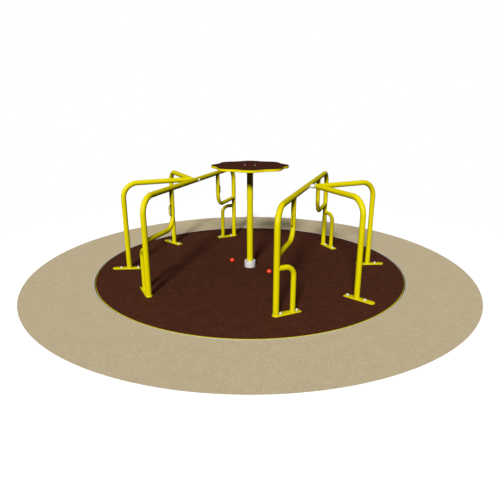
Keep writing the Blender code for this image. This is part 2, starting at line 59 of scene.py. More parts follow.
def add(tree, kind, sockets=None, **settings):
    """Add one node: settings are its properties, and sockets maps an input to a link or a value."""
    made = tree.nodes.new(kind)
    for name, value in settings.items():
        setattr(made, name, value)
    for name, value in (sockets or {}).items():
        if isinstance(value, bpy.types.NodeSocket):
            tree.links.new(value, made.inputs[name])
        else:
            made.inputs[name].default_value = value
    return made


def finish(name):
    """A new material with its tree, its Principled shader and its Object coordinates."""
    made = bpy.data.materials.new(name)
    made.use_nodes = True
    tree = made.node_tree
    coords = add(tree, "ShaderNodeTexCoord").outputs["Object"]
    return made, tree, tree.nodes["Principled BSDF"], coords


# Mix nodes name their sockets alike, so these are the places of the factor and the two colours.
FACTOR, FIRST, SECOND, MIXED = 0, 6, 7, 2


def galvanised(name, dark, light, crystal_mm, roughness, metallic=0.9):
    """Hot-dip zinc on steel: flat crystals, each at its own tilt, so each has its own grey."""
    made, tree, shader, coords = finish(name)
    crystals = add(tree, "ShaderNodeTexVoronoi", {"Vector": coords, "Scale": 1000 / crystal_mm})
    tone = add(tree, "ShaderNodeSeparateColor", {"Color": crystals.outputs["Color"]})
    cloud = add(tree, "ShaderNodeTexNoise", {"Vector": coords, "Scale": 9.0, "Detail": 3.0})
    blend = add(tree, "ShaderNodeMath", {0: tone.outputs["Red"], 1: cloud.outputs["Fac"]},
                operation="MULTIPLY")
    colour = add(tree, "ShaderNodeMix", {FACTOR: blend.outputs[0], FIRST: linear(dark),
                                         SECOND: linear(light)}, data_type="RGBA")
    rough = add(tree, "ShaderNodeMapRange", {"Value": tone.outputs["Green"],
                                             "To Min": roughness - 0.08,
                                             "To Max": roughness + 0.08})
    bump = add(tree, "ShaderNodeBump", {"Height": cloud.outputs["Fac"], "Strength": 0.15,
                                        "Distance": 0.001})
    tree.links.new(colour.outputs[MIXED], shader.inputs["Base Color"])
    tree.links.new(rough.outputs["Result"], shader.inputs["Roughness"])
    tree.links.new(bump.outputs["Normal"], shader.inputs["Normal"])
    shader.inputs["Metallic"].default_value = metallic
    return made


ZINC = galvanised("hot_dip_galvanised_steel", "8F9497", "D3D6D7", crystal_mm=11.0, roughness=0.42)


def dress(node, material):
    """Give a node of the frame its finish."""
    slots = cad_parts[node].data.materials
    slots.clear()
    slots.append(material)


dress("base_frame", ZINC)

# ---- Pit ring -------------------------------------------------------------------------------
# Four rolled quarters of galvanised angle that line the pit and hold back the surfacing. Their
# top edge, 10 mm wide, softened by rolling and dulled by weather, is the pale line round it all.


def soften(corners, radius, steps=4):
    """Round each corner of a closed outline by a quadratic curve that aims at the corner."""
    corners = np.asarray(corners, float)
    before = np.roll(corners, 1, axis=0) - corners
    after = np.roll(corners, -1, axis=0) - corners
    lengths = [np.linalg.norm(side, axis=1, keepdims=True) for side in (before, after)]
    reach = np.minimum(radius, 0.45 * np.minimum(*lengths))
    start, end = corners + before / lengths[0] * reach, corners + after / lengths[1] * reach
    t = np.linspace(0, 1, steps + 1)[None, :, None]
    curve = ((1 - t) ** 2 * start[:, None] + 2 * t * (1 - t) * corners[:, None]
             + t ** 2 * end[:, None])
    return curve.reshape(-1, 2)


def turned(outline, angles, centre=(0.0, 0.0)):
    """Carry (radius, height) points round a vertical line: one row of points for each angle."""
    radius, height = np.asarray(outline, float).T
    angle = np.asarray(angles)[:, None]
    x, y = centre[0] + radius * np.cos(angle), centre[1] + radius * np.sin(angle)
    return np.stack([x, y, height + 0 * angle], axis=-1)


def full_turn(steps):
    """Equal angles all the way round, without the last one, which is the first again."""
    return np.arange(steps) * math.tau / steps


def skin(points, rows_close=True, columns_close=True):
    """Points on a grid and the four-sided faces between them; each direction may close."""
    rows, columns = points.shape[:2]
    index = np.arange(rows * columns).reshape(rows, columns)
    if rows_close:
        index = np.vstack([index, index[:1]])
    if columns_close:
        index = np.hstack([index, index[:, :1]])
    corners = (index[:-1, :-1], index[1:, :-1], index[1:, 1:], index[:-1, 1:])
    return points.reshape(-1, 3), np.stack(corners, axis=-1).reshape(-1, 4)


def piece(name, shells, material, body, slot, *nodes, crease=40):
    """One mesh from its shells: seams merged, ends capped, faces outwards, on its body."""
    starts = np.cumsum([0] + [len(points) for points, _ in shells])
    points = np.vstack([points for points, _ in shells])
    faces = np.vstack([quads + start for (_, quads), start in zip(shells, starts)])
    mesh = bpy.data.meshes.new(name)
    mesh.from_pydata(points.tolist(), [], faces.tolist())
    work = bmesh.new()
    work.from_mesh(mesh)
    bmesh.ops.remove_doubles(work, verts=work.verts[:], dist=2e-6)
    open_edges = [edge for edge in work.edges if edge.is_boundary]
    bmesh.ops.holes_fill(work, edges=open_edges, sides=0)
    bmesh.ops.recalc_face_normals(work, faces=work.faces[:])
    work.to_mesh(mesh)
    work.free()
    mesh.shade_smooth()
    mesh.set_sharp_from_angle(angle=math.radians(crease))
    mesh.materials.append(material)
    made = bpy.data.objects.new(name, mesh)
    bpy.context.collection.objects.link(made)
    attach(made, body)
    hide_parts(*nodes)
    return made


deck_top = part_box("deck_covering")[1].z
ring_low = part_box("pit_ring_right_back")[0].z
RING_INSIDE, RING_WALL, RING_LIP, LIP_DEPTH, FLANGE = 1.500, 0.004, 0.010, 0.006, 0.015
RING_SEAM = 0.0004          # half the angle left between two quarters
ring_outline = soften([
    (RING_INSIDE - FLANGE, ring_low), (RING_INSIDE + RING_WALL, ring_low),
    (RING_INSIDE + RING_WALL, deck_top - LIP_DEPTH), (RING_INSIDE + RING_LIP, deck_top - LIP_DEPTH),
    (RING_INSIDE + RING_LIP, deck_top), (RING_INSIDE, deck_top),
    (RING_INSIDE, ring_low + LIP_DEPTH), (RING_INSIDE - FLANGE, ring_low + LIP_DEPTH),
], 0.0015)
RING_ZINC = galvanised("weathered_zinc", "9E9A92", "C8C3B8", crystal_mm=11.0, roughness=0.55,
                       metallic=0.15)
for quarter, place in enumerate(("right_back", "left_back", "left_front", "right_front")):
    ends = quarter * math.pi / 2 + np.array([RING_SEAM, math.pi / 2 - RING_SEAM])
    arc = turned(ring_outline, np.linspace(ends[0], ends[1], 65))
    piece(f"ring_quarter_{place}", [skin(arc, rows_close=False)], RING_ZINC, "ground",
          "galvanised_steel", f"pit_ring_{place}")

# ---- Spindle and bearings -------------------------------------------------------------------
# The turned stainless spindle stands on the ground frame and carries everything. A thrust ball
# bearing takes the weight at its flange and a bronze bush steadies the top of the hub.


def outline_of(node, radii, softness):
    """Softened outline of a plain ring: its two radii, and the heights of a node of the frame."""
    low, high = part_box(node)
    corners = [(radii[0], low.z), (radii[1], low.z), (radii[1], high.z), (radii[0], high.z)]
    return soften(corners, softness)


def machined(name, colour, roughness, tool_mm, metallic=1.0):
    """Metal turned on a lathe: fine rings round the axis, left by the tool at its feed."""
    made, tree, shader, coords = finish(name)
    rings = add(tree, "ShaderNodeTexWave", {"Vector": coords, "Scale": 1000 / tool_mm / math.tau,
                                            "Distortion": 0.4}, bands_direction="Z")
    haze = add(tree, "ShaderNodeTexNoise", {"Vector": coords, "Scale": 60.0, "Detail": 3.0})
    rough = add(tree, "ShaderNodeMapRange", {"Value": haze.outputs["Fac"],
                                             "To Min": roughness - 0.06,
                                             "To Max": roughness + 0.10})
    bump = add(tree, "ShaderNodeBump", {"Height": rings.outputs["Fac"], "Strength": 0.08,
                                        "Distance": 0.0002})
    shader.inputs["Base Color"].default_value = linear(colour)
    shader.inputs["Metallic"].default_value = metallic
    tree.links.new(rough.outputs["Result"], shader.inputs["Roughness"])
    tree.links.new(bump.outputs["Normal"], shader.inputs["Normal"])
    return made


STAINLESS = machined("turned_stainless_steel", "DCDDDD", roughness=0.24, tool_mm=1.2)
BEARING = machined("ground_bearing_steel", "A5A8AB", roughness=0.16, tool_mm=0.8)
BRONZE = machined("bearing_bronze", "A9793B", roughness=0.30, tool_mm=1.0)

SHAFT, SPIGOT, SPINDLE_FLANGE, SPINDLE_PLATE, SHOULDER_GAP = 0.035, 0.0262, 0.110, 0.015, 0.0004
spindle_low, spindle_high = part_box("spindle")
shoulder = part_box("column_tube")[0].z - SHOULDER_GAP
spindle_outline = [
    (0, spindle_low.z), (SPINDLE_FLANGE, spindle_low.z),
    (SPINDLE_FLANGE, spindle_low.z + SPINDLE_PLATE), (SHAFT, spindle_low.z + SPINDLE_PLATE),
    (SHAFT, shoulder), (SPIGOT, shoulder), (SPIGOT, spindle_high.z), (0, spindle_high.z),
]
piece("spindle_shaft", [skin(turned(spindle_outline, full_turn(96)), columns_close=False)],
      STAINLESS, "ground", "stainless_steel", "spindle")

RACE_IN, RACE_OUT = 0.0357, 0.0550
for node, body in (("thrust_race_lower", "ground"), ("thrust_race_upper", "platform")):
    ring = turned(outline_of(node, (RACE_IN, RACE_OUT), 0.0010), full_turn(96))
    piece(node.replace("thrust_", "ball_"), [skin(ring)], BEARING, body, "bearing_steel", node)

BALL, BALL_COUNT, BALL_CIRCLE, CAGE_HALF = 0.007, 10, 0.0455, 0.002
cage_low, cage_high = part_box("thrust_ball_cage")
ball_z = (cage_low.z + cage_high.z) / 2
around = np.linspace(-math.pi / 2, math.pi / 2, 13)
half_circle = np.stack([BALL * np.cos(around), ball_z + BALL * np.sin(around)], axis=1)
plate = soften([(RACE_IN, ball_z - CAGE_HALF), (RACE_OUT, ball_z - CAGE_HALF),
                (RACE_OUT, ball_z + CAGE_HALF), (RACE_IN, ball_z + CAGE_HALF)], 0.0006)
cage_shells = [skin(turned(plate, full_turn(96)))]
for angle in full_turn(BALL_COUNT):
    centre = (BALL_CIRCLE * math.cos(angle), BALL_CIRCLE * math.sin(angle))
    cage_shells.append(skin(turned(half_circle, full_turn(24), centre), columns_close=False))
piece("ball_cage", cage_shells, BEARING, "ball_cage", "bearing_steel", "thrust_ball_cage")

BUSH_OUT = 0.0444
sleeve = turned(outline_of("hub_bush", (RACE_IN, BUSH_OUT), 0.0008), full_turn(96))
piece("hub_sleeve", [skin(sleeve)], BRONZE, "platform", "bronze", "hub_bush")

# ---- Hub ------------------------------------------------------------------------------------
# A galvanised housing with a flange under the platform frame, and above the deck a pale collar,
# turned and then blasted to a satin finish, through which the fixed column rises.

HUB_BORE, HUB_RADIUS, HUB_FLANGE, HUB_PLATE, FRAME_GAP = 0.045, 0.055, 0.160, 0.012, 0.0003
hub_low, hub_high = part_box("hub_housing")
flange_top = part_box("platform_frame")[0].z - FRAME_GAP
hub_outline = soften([
    (HUB_BORE, hub_low.z), (HUB_RADIUS, hub_low.z), (HUB_RADIUS, flange_top - HUB_PLATE),
    (HUB_FLANGE, flange_top - HUB_PLATE), (HUB_FLANGE, flange_top), (HUB_RADIUS, flange_top),
    (HUB_RADIUS, hub_high.z), (HUB_BORE, hub_high.z),
], 0.0015)
piece("hub_body", [skin(turned(hub_outline, full_turn(96)))], ZINC, "platform",
      "galvanised_steel", "hub_housing")

COLLAR_RADIUS, COLLAR_BORE, COLLAR_ROOM = 0.056, 0.0318, 0.0448
collar_low, collar_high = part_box("hub_collar")
collar_outline = soften([
    (COLLAR_ROOM, collar_low.z), (COLLAR_RADIUS, collar_low.z), (COLLAR_RADIUS, collar_high.z),
    (COLLAR_BORE, collar_high.z), (COLLAR_BORE, deck_top), (COLLAR_ROOM, deck_top),
], 0.003)
SATIN_STEEL = machined("satin_stainless_steel", "C2C0BD", roughness=0.42, tool_mm=1.6,
                       metallic=0.2)
piece("collar", [skin(turned(collar_outline, full_turn(128)))], SATIN_STEEL, "platform",
      "stainless_steel", "hub_collar")

# ---- Platform frame, panels and rim ---------------------------------------------------------
# Eight flat bars on edge run from the hub to the rim and carry two film-faced plywood panels. The
# rim is a rolled flat bar, powder coated yellow, which shows in the gap between deck and ring.


def plywood():
    """Phenolic film on plywood: dark brown, faintly streaked along the grain."""
    made, tree, shader, coords = finish("film_faced_plywood")
    along = add(tree, "ShaderNodeMapping", {"Vector": coords, "Scale": (4.0, 90.0, 90.0)})
    grain = add(tree, "ShaderNodeTexNoise", {"Vector": along.outputs[0], "Scale": 1.0,
                                             "Detail": 5.0})
    colour = add(tree, "ShaderNodeMix", {FACTOR: grain.outputs["Fac"], FIRST: linear("4A2F1E"),
                                         SECOND: linear("7B5638")}, data_type="RGBA")
    tree.links.new(colour.outputs[MIXED], shader.inputs["Base Color"])
    shader.inputs["Roughness"].default_value = 0.45
    return made


def powder_coat(name, bright, deep):
    """Polyester powder baked on steel: satin, with the orange peel that it sets to, 3 mm across.

    Spots on the lowest 120 mm above the deck are darker, browner and rougher."""
    made, tree, shader, coords = finish(name)
    cloud = add(tree, "ShaderNodeTexNoise", {"Vector": coords, "Scale": 7.0, "Detail": 2.0})
    colour = add(tree, "ShaderNodeMix", {FACTOR: cloud.outputs["Fac"], FIRST: linear(bright),
                                         SECOND: linear(deep)}, data_type="RGBA")
    # Spots in the lowest 120 mm above the deck are mixed towards a darker brown and made rougher.
    place = add(tree, "ShaderNodeSeparateXYZ", {"Vector": coords})
    low = add(tree, "ShaderNodeMapRange", {"Value": place.outputs["Z"], "From Min": deck_top,
                                           "From Max": deck_top + 0.12, "To Min": 0.55,
                                           "To Max": 0.0})
    blotches = add(tree, "ShaderNodeTexNoise", {"Vector": coords, "Scale": 55.0, "Detail": 6.0,
                                             "Roughness": 0.7})
    spots = add(tree, "ShaderNodeMapRange", {"Value": blotches.outputs["Fac"], "From Min": 0.50,
                                             "From Max": 0.72})
    low_spots = add(tree, "ShaderNodeMath", {0: low.outputs["Result"], 1: spots.outputs["Result"]},
               operation="MULTIPLY")
    spotted = add(tree, "ShaderNodeMix", {FACTOR: low_spots.outputs[0], FIRST: colour.outputs[MIXED],
                                        SECOND: linear("8A7424")}, data_type="RGBA")
    rough = add(tree, "ShaderNodeMapRange", {"Value": low_spots.outputs[0], "To Min": 0.36,
                                             "To Max": 0.75})
    peel = add(tree, "ShaderNodeTexNoise", {"Vector": coords, "Scale": 1000 / 3.0, "Detail": 1.0})
    bump = add(tree, "ShaderNodeBump", {"Height": peel.outputs["Fac"], "Strength": 0.10,
                                        "Distance": 0.0004})
    tree.links.new(spotted.outputs[MIXED], shader.inputs["Base Color"])
    tree.links.new(rough.outputs["Result"], shader.inputs["Roughness"])
    tree.links.new(bump.outputs["Normal"], shader.inputs["Normal"])
    shader.inputs["Specular IOR Level"].default_value = 0.1
    return made


YELLOW = powder_coat("yellow_polyester_powder_coat", "C1B500", "B8A900")
dress("platform_frame", ZINC)
BOARD = plywood()
for side in ("right", "left"):
    dress(f"deck_panel_{side}", BOARD)

RIM_IN, RIM_OUT, MAT_OVER_RIM = 1.486, 1.492, 0.0015
rim_low, rim_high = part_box("platform_rim")
rim_top = rim_high.z - MAT_OVER_RIM
rim_outline = soften([(RIM_IN, rim_low.z), (RIM_OUT, rim_low.z), (RIM_OUT, rim_top),
                      (RIM_IN, rim_top)], 0.0008)
piece("rim", [skin(turned(rim_outline, full_turn(288)))], YELLOW, "platform",
      "yellow_powder_coat", "platform_rim")

# ---- Deck covering --------------------------------------------------------------------------
# A single mat of brown rubber granules set in resin, bonded to the panels and trowelled over most
# of the rim's top edge. Matt, and slightly uneven in tone where the granules lie closer.


def granulated_rubber(name, dark, light, speck, granule_mm):
    """Granules in resin: each has its own tone and stands a little proud, in broad soft patches."""
    made, tree, shader, coords = finish(name)
    grains = add(tree, "ShaderNodeTexVoronoi", {"Vector": coords, "Scale": 1000 / granule_mm})
    tone = add(tree, "ShaderNodeSeparateColor", {"Color": grains.outputs["Color"]})
    patches = add(tree, "ShaderNodeTexNoise", {"Vector": coords, "Scale": 16.0, "Detail": 6.0,
                                               "Roughness": 0.65})
    spread = add(tree, "ShaderNodeMapRange", {"Value": patches.outputs["Fac"], "From Min": 0.3,
                                              "From Max": 0.7})
    mixed = add(tree, "ShaderNodeMath", {0: tone.outputs["Red"], 1: spread.outputs["Result"]},
                operation="ADD")
    halved = add(tree, "ShaderNodeMath", {0: mixed.outputs[0], 1: 0.5}, operation="MULTIPLY")
    colour = add(tree, "ShaderNodeMix", {FACTOR: halved.outputs[0], FIRST: linear(dark),
                                         SECOND: linear(light)}, data_type="RGBA")
    rare = add(tree, "ShaderNodeMapRange", {"Value": tone.outputs["Green"], "From Min": 0.93,
                                            "From Max": 0.95})
    specked = add(tree, "ShaderNodeMix", {FACTOR: rare.outputs["Result"],
                                          FIRST: colour.outputs[MIXED],
                                          SECOND: linear(speck)}, data_type="RGBA")
    bump = add(tree, "ShaderNodeBump", {"Height": grains.outputs["Distance"], "Strength": 0.6,
                                        "Distance": 0.0008}, invert=True)
    tree.links.new(specked.outputs[MIXED], shader.inputs["Base Color"])
    tree.links.new(bump.outputs["Normal"], shader.inputs["Normal"])
    shader.inputs["Roughness"].default_value = 0.88
    shader.inputs["Specular IOR Level"].default_value = 0.05
    return made


# The real granules are 1 to 3 mm across; they are drawn just above that, so that they show.
DECK_RUBBER = granulated_rubber("brown_rubber_granules", "2C150D", "462416", "643C2B",
                                granule_mm=3.2)
cover_low, cover_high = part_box("deck_covering")
mat_in, mat_step, mat_out = COLLAR_RADIUS + 0.0006, RIM_IN - 0.0004, RIM_OUT - 0.0025
cover_outline = soften([
    (mat_in, cover_low.z), (mat_step, cover_low.z), (mat_step, rim_top + 0.0001),
    (mat_out, rim_top + 0.0001), (mat_out, cover_high.z), (mat_in, cover_high.z),
], 0.0006)
piece("deck_mat", [skin(turned(cover_outline, full_turn(288)))], DECK_RUBBER, "platform",
      "brown_rubber", "deck_covering")

# ---- Tubes: arch rails, grab tubes and low loops --------------------------------------------
# Steel tube of 48.3 mm for what carries weight and 42.4 mm for what hands hold, cold bent, welded
# with a rippled bead all round each joint, and powder coated after welding.

RAIL, GRAB, STRAP = 0.02415, 0.0212, 0.006       # radii
RAIL_BEND, GRAB_BEND, LOOP_BEND, STRAP_BEND = 0.140, 0.122, 0.075, 0.020
GRAB_OFFSET, LOOP_OFFSET, STRAP_OFFSET = 0.478, 0.150, 0.038
STRAP_LOW, STRAP_HIGH, STRAP_SUNK = 0.614, 0.702, 0.002
FLAT = math.cos(math.pi / 10)                    # the frame's tubes have ten flats
UP = np.array([0.0, 0.0, 1.0])


def route(corners, radius, steps=18):
    """Straight runs joined by arcs: centre + radius (cos t, sin t) in the plane of each corner."""
    corners = np.asarray(corners, float)
    path = [corners[:1]]
    for before, corner, after in zip(corners, corners[1:], corners[2:]):
        back, on = (before - corner), (after - corner)
        back, on = back / np.linalg.norm(back), on / np.linalg.norm(on)
        turn = math.pi - math.acos(np.dot(back, on))
        start = corner + back * radius * math.tan(turn / 2)
        inward = on + back * math.cos(turn)
        inward /= np.linalg.norm(inward)
        t = np.linspace(0, turn, steps)[:, None]
        path.append(start + radius * (inward * (1 - np.cos(t)) - back * np.sin(t)))
    return np.vstack(path + [corners[-1:]])


def swept(path, normal, radius, sides=40):
    """A round section square to a flat path, closed by a pole at each end.

    The section is radius (cos s side + sin s normal), with side square to the path in its plane."""
    runs = np.diff(path, axis=0)
    runs /= np.linalg.norm(runs, axis=1, keepdims=True)
    ahead = np.vstack([runs[:1], runs[:-1] + runs[1:], runs[-1:]])
    ahead /= np.linalg.norm(ahead, axis=1, keepdims=True)
    side = np.cross(ahead, normal)
    path, side = (np.vstack([rows[:1], rows, rows[-1:]]) for rows in (path, side))
    radii = np.full(len(path), radius)
    radii[[0, -1]] = 0.0
    angle = full_turn(sides)[None, :, None]
    section = np.cos(angle) * side[:, None] + np.sin(angle) * normal
    return path[:, None] + radii[:, None, None] * section


def tube(corners, bend, normal, radius, sides=40):
    """A bent tube through its corners, as a closed shell."""
    path = route(corners, bend)
    return skin(swept(path, np.asarray(normal, float), radius, sides), rows_close=False)


def bead(centre, along, out, radius, seat=None, size=0.0030):
    """A weld bead where a tube meets a flat plate, or the round side of a tube of radius seat.

    The joint line is radius (cos t along + sin t across), raised by
    sqrt(seat^2 - radius^2 sin^2 t) on a round seat. The bead is a small circle carried along it,
    which swells with each ripple."""
    along, out = np.asarray(along, float), np.asarray(out, float)
    across = np.cross(along, out)
    t = full_turn(144)[:, None, None]
    s = full_turn(8)[None, :, None]
    radial = np.cos(t) * along + np.sin(t) * across
    rise = 0.0 if seat is None else np.sqrt(seat ** 2 - (radius * np.sin(t)) ** 2)
    swell = size * (1 + 0.10 * np.cos(36 * t))
    points = np.asarray(centre, float) + radius * radial + rise * out
    return skin(points + swell * (np.cos(s) * radial + np.sin(s) * out))


arches = {}
for side, east in (("right", 1), ("left", -1)):
    low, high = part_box(f"arch_rail_{side}")
    x, leg_y, foot_z = (low.x + high.x) / 2, high.y - RAIL * FLAT, low.z
    rail_z = high.z - RAIL * FLAT
    arches[side] = (x, leg_y, rail_z, foot_z)
    corners = [(x, -leg_y, foot_z), (x, -leg_y, rail_z), (x, leg_y, rail_z), (x, leg_y, foot_z)]
    shells = [tube(corners, RAIL_BEND, (1, 0, 0), RAIL, 48)]
    shells += [bead((x, north * leg_y, foot_z), (1, 0, 0), UP, RAIL) for north in (-1, 1)]
    piece(f"arch_{side}", shells, YELLOW, "platform", "yellow_powder_coat", f"arch_rail_{side}")

    for end, north in (("front", -1), ("back", 1)):
        place = f"{side}_{end}"
        leg = np.array([x, north * leg_y, 0.0])
        inward = np.array([0.0, -north, 0.0])
        grab_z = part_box(f"grab_tube_{place}")[0].z + GRAB * FLAT
        upright = leg + GRAB_OFFSET * inward
        corners = [leg + grab_z * UP, upright + grab_z * UP, upright + rail_z * UP]
        shells = [tube(corners, GRAB_BEND, (1, 0, 0), GRAB)]
        # The strap eye: a round bar bent into a flat D and welded to the side facing the leg.
        eye_low, eye_high = deck_top + STRAP_LOW, deck_top + STRAP_HIGH
        eye = upright - (GRAB + STRAP_OFFSET) * inward
        near = upright - (GRAB - STRAP_SUNK) * inward
        corners = [near + eye_low * UP, eye + eye_low * UP, eye + eye_high * UP,
                   near + eye_high * UP]
        shells.append(tube(corners, STRAP_BEND, (1, 0, 0), STRAP, 20))
        shells += [bead(upright + z * UP, UP, -inward, STRAP, GRAB, 0.0016)
                   for z in (eye_low, eye_high)]
        shells.append(bead(upright + rail_z * UP, inward, -UP, GRAB, RAIL))
        shells.append(bead(leg + grab_z * UP, UP, inward, GRAB, RAIL))
        piece(f"grab_{place}", shells, YELLOW, "platform", "yellow_powder_coat",
              f"grab_tube_{place}")

        # The low loop stands on the diagonal, outwards and towards the middle of its group.
        outward = np.array([east, -north, 0.0]) * math.sqrt(0.5)
        level = np.cross(outward, UP)
        loop_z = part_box(f"low_loop_{place}")[1].z - GRAB * FLAT
        standing = leg + LOOP_OFFSET * outward
        corners = [leg + loop_z * UP, standing + loop_z * UP, standing + foot_z * UP]
        shells = [tube(corners, LOOP_BEND, level, GRAB)]
        shells.append(bead(leg + loop_z * UP, UP, outward, GRAB, RAIL))
        shells.append(bead(standing + foot_z * UP, outward, UP, GRAB))
        piece(f"loop_{place}", shells, YELLOW, "platform", "yellow_powder_coat",
              f"low_loop_{place}")

# ---- Stay frames: apex, stays, spacer and through bolt --------------------------------------
# Each pair of stays meets in a rounded apex outside the middle of its arch. A stainless bolt with
# a domed head passes through the rail and a turned spacer into the apex.

STAY_RADIUS, STAY_AZIMUTH = 1.208, math.radians(22.5)
for side, east in (("right", 1), ("left", -1)):
    x, leg_y, rail_z, foot_z = arches[side]
    low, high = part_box(f"stay_apex_{side}")
    apex = np.array([(low.x + high.x) / 2, 0.0, rail_z])
    rise = np.linspace(-math.pi / 2, math.pi / 2, 25)
    nose = np.stack([RAIL * np.cos(rise), rail_z + RAIL * np.sin(rise)], axis=1)
    piece(f"apex_{side}", [skin(turned(nose, full_turn(48), apex[:2]), columns_close=False)],
          YELLOW, "platform", "yellow_powder_coat", f"stay_apex_{side}")
    for end, north in (("front", -1), ("back", 1)):
        place = f"{side}_{end}"
        foot = STAY_RADIUS * np.array([east * math.cos(STAY_AZIMUTH),
                                       north * math.sin(STAY_AZIMUTH), 0.0])
        outward = (foot - apex) * (1, 1, 0)
        level = np.cross(outward / np.linalg.norm(outward), UP)
        shells = [tube([apex, foot + rail_z * UP, foot + foot_z * UP], RAIL_BEND, level, RAIL, 48)]
        shells.append(bead(foot + foot_z * UP, (1, 0, 0), UP, RAIL))
        piece(f"stay_{place}", shells, YELLOW, "platform", "yellow_powder_coat",
              f"stay_tube_{place}")


def lathe_along(outline, origin, ahead, angles):
    """Carry (radius, distance) points round a level line that starts at origin and runs ahead."""
    radius, distance = np.asarray(outline, float).T
    ahead = np.asarray(ahead, float)
    angle = angles[:, None, None]
    round_it = np.cos(angle) * np.cross(UP, ahead) + np.sin(angle) * UP
    off_line = radius[None, :, None] * round_it
    return np.asarray(origin, float) + off_line + distance[None, :, None] * ahead


BOLT, BOLT_ROOM, BOLT_TIP, HEAD, HEAD_RISE, HEAD_BRIM = 0.006, 0.0006, 0.030, 0.013, 0.014, 0.0015
NECK, NECK_SUNK, NECK_LENGTH, SPACER = 0.010, 0.004, 0.008, 0.020
for side, east in (("right", 1), ("left", -1)):
    x, leg_y, rail_z, foot_z = arches[side]
    middle, ahead = (x, 0, rail_z), (east, 0, 0)
    low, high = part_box(f"stay_apex_{side}")
    span = abs(low.x + high.x) / 2 - abs(x) - RAIL
    spacer = soften([
        (BOLT + BOLT_ROOM, RAIL - NECK_SUNK), (NECK, RAIL - NECK_SUNK), (NECK, RAIL + NECK_LENGTH),
        (SPACER, RAIL + NECK_LENGTH), (SPACER, span), (BOLT + BOLT_ROOM, span),
    ], 0.0015)
    piece(f"spacer_{side}", [skin(lathe_along(spacer, middle, ahead, full_turn(64)))],
          SATIN_STEEL, "platform", "stainless_steel", f"stay_spacer_{side}")
    t = np.linspace(0, math.pi / 2, 9)
    crown = RAIL + HEAD_BRIM + (HEAD_RISE - HEAD_BRIM) * np.sin(t)
    dome = np.stack([HEAD * np.cos(t), -crown], axis=1)
    bolt = np.vstack([[(0, span + BOLT_TIP), (BOLT, span + BOLT_TIP), (BOLT, -RAIL),
                       (HEAD, -RAIL)], dome])
    turned_bolt = skin(lathe_along(bolt, middle, ahead, full_turn(48)), columns_close=False)
    piece(f"bolt_{side}", [turned_bolt], SATIN_STEEL, "platform", "stainless_steel",
          f"stay_bolt_{side}")

# ---- Foot plates and clamps -----------------------------------------------------------------
# Flat bar of 60 by 8 mm under every leg, round at one end and sawn square at the other, held by
# two studs that come up from a clamp bar under the deck and end in washers and dome nuts.


def flat_bar(ends, width, low, high, place, turn, edge=0.0012):
    """A flat bar in plan: a half circle at its first end, square at the other, edges softened."""
    half, facing = width / 2, math.copysign(1, ends[1] - ends[0])
    t = np.linspace(math.pi / 2, 1.5 * math.pi, 25)
    tip = np.stack([ends[0] + facing * half * (1 + np.cos(t)), half * np.sin(t)], axis=1)
    # The first and last corners, five points each, lie where the half circle is, and are dropped.
    corners = soften([(ends[1] - facing * half, -half), (ends[1], -half), (ends[1], half),
                      (ends[1] - facing * half, half)], 0.003)[5:-5]
    outline = np.vstack([tip, corners])
    centre = np.array([(ends[0] + ends[1]) / 2, 0.0])
    size = np.abs(outline - centre).max(axis=0)
    levels = [(1.0, low), (0.0, low), (0.0, low + edge), (0.0, high - edge),
              (0.4, high - 0.3 * edge), (1.0, high)]
    rings = [np.column_stack([centre + (outline - centre) * (1 - inset * edge / size),
                              np.full(len(outline), z)]) for inset, z in levels]
    under, over = (ring * (0, 0, 1) + (*centre, 0) for ring in (rings[0], rings[-1]))
    x, y, z = np.moveaxis(np.stack([under, *rings, over]), -1, 0)
    c, s = math.cos(turn), math.sin(turn)
    placed = np.stack([place[0] + c * x - s * y, place[1] + s * x + c * y, z], axis=-1)
    return skin(placed, rows_close=False)


WASHER_THICK = 0.0016


def dome_nut(centre, seat, across=0.0190, height=0.016, washer=0.0125):
    """A washer, a hexagon measured across its corners, and a dome.

    The radius of the hexagon is its flat over the cosine of the angle from the middle of that
    flat, and the chamfer and the dome cap it at a round radius."""
    angle = full_turn(72)
    flat = across / 2 * math.cos(math.pi / 6)
    hexagon = flat / np.cos((angle + math.pi / 6) % (math.pi / 3) - math.pi / 6)
    t = np.linspace(0, math.pi / 2, 9)
    dome_r, dome_z = 0.82 * flat * np.cos(t), 0.55 * height + 0.45 * height * np.sin(t)
    radii = [0 * hexagon, washer + 0 * hexagon, washer + 0 * hexagon, hexagon, hexagon,
             np.minimum(hexagon, flat * 1.02)]
    levels = [0.0, 0.0, WASHER_THICK, WASHER_THICK, 0.45 * height, 0.52 * height]
    radii += [r + 0 * hexagon for r in dome_r]
    levels += dome_z.tolist()
    radii, levels = np.stack(radii), np.array(levels)[:, None]
    points = np.stack([centre[0] + radii * np.cos(angle), centre[1] + radii * np.sin(angle),
                       seat + levels + 0 * radii], axis=-1)
    return skin(points, rows_close=False)


PLATE_WIDTH, CLAMP_WIDTH, CLAMP_THICK, CLAMP_BEYOND = 0.060, 0.050, 0.008, 0.030
STUD_SUNK, STUD_PROUD = 0.002, 0.004
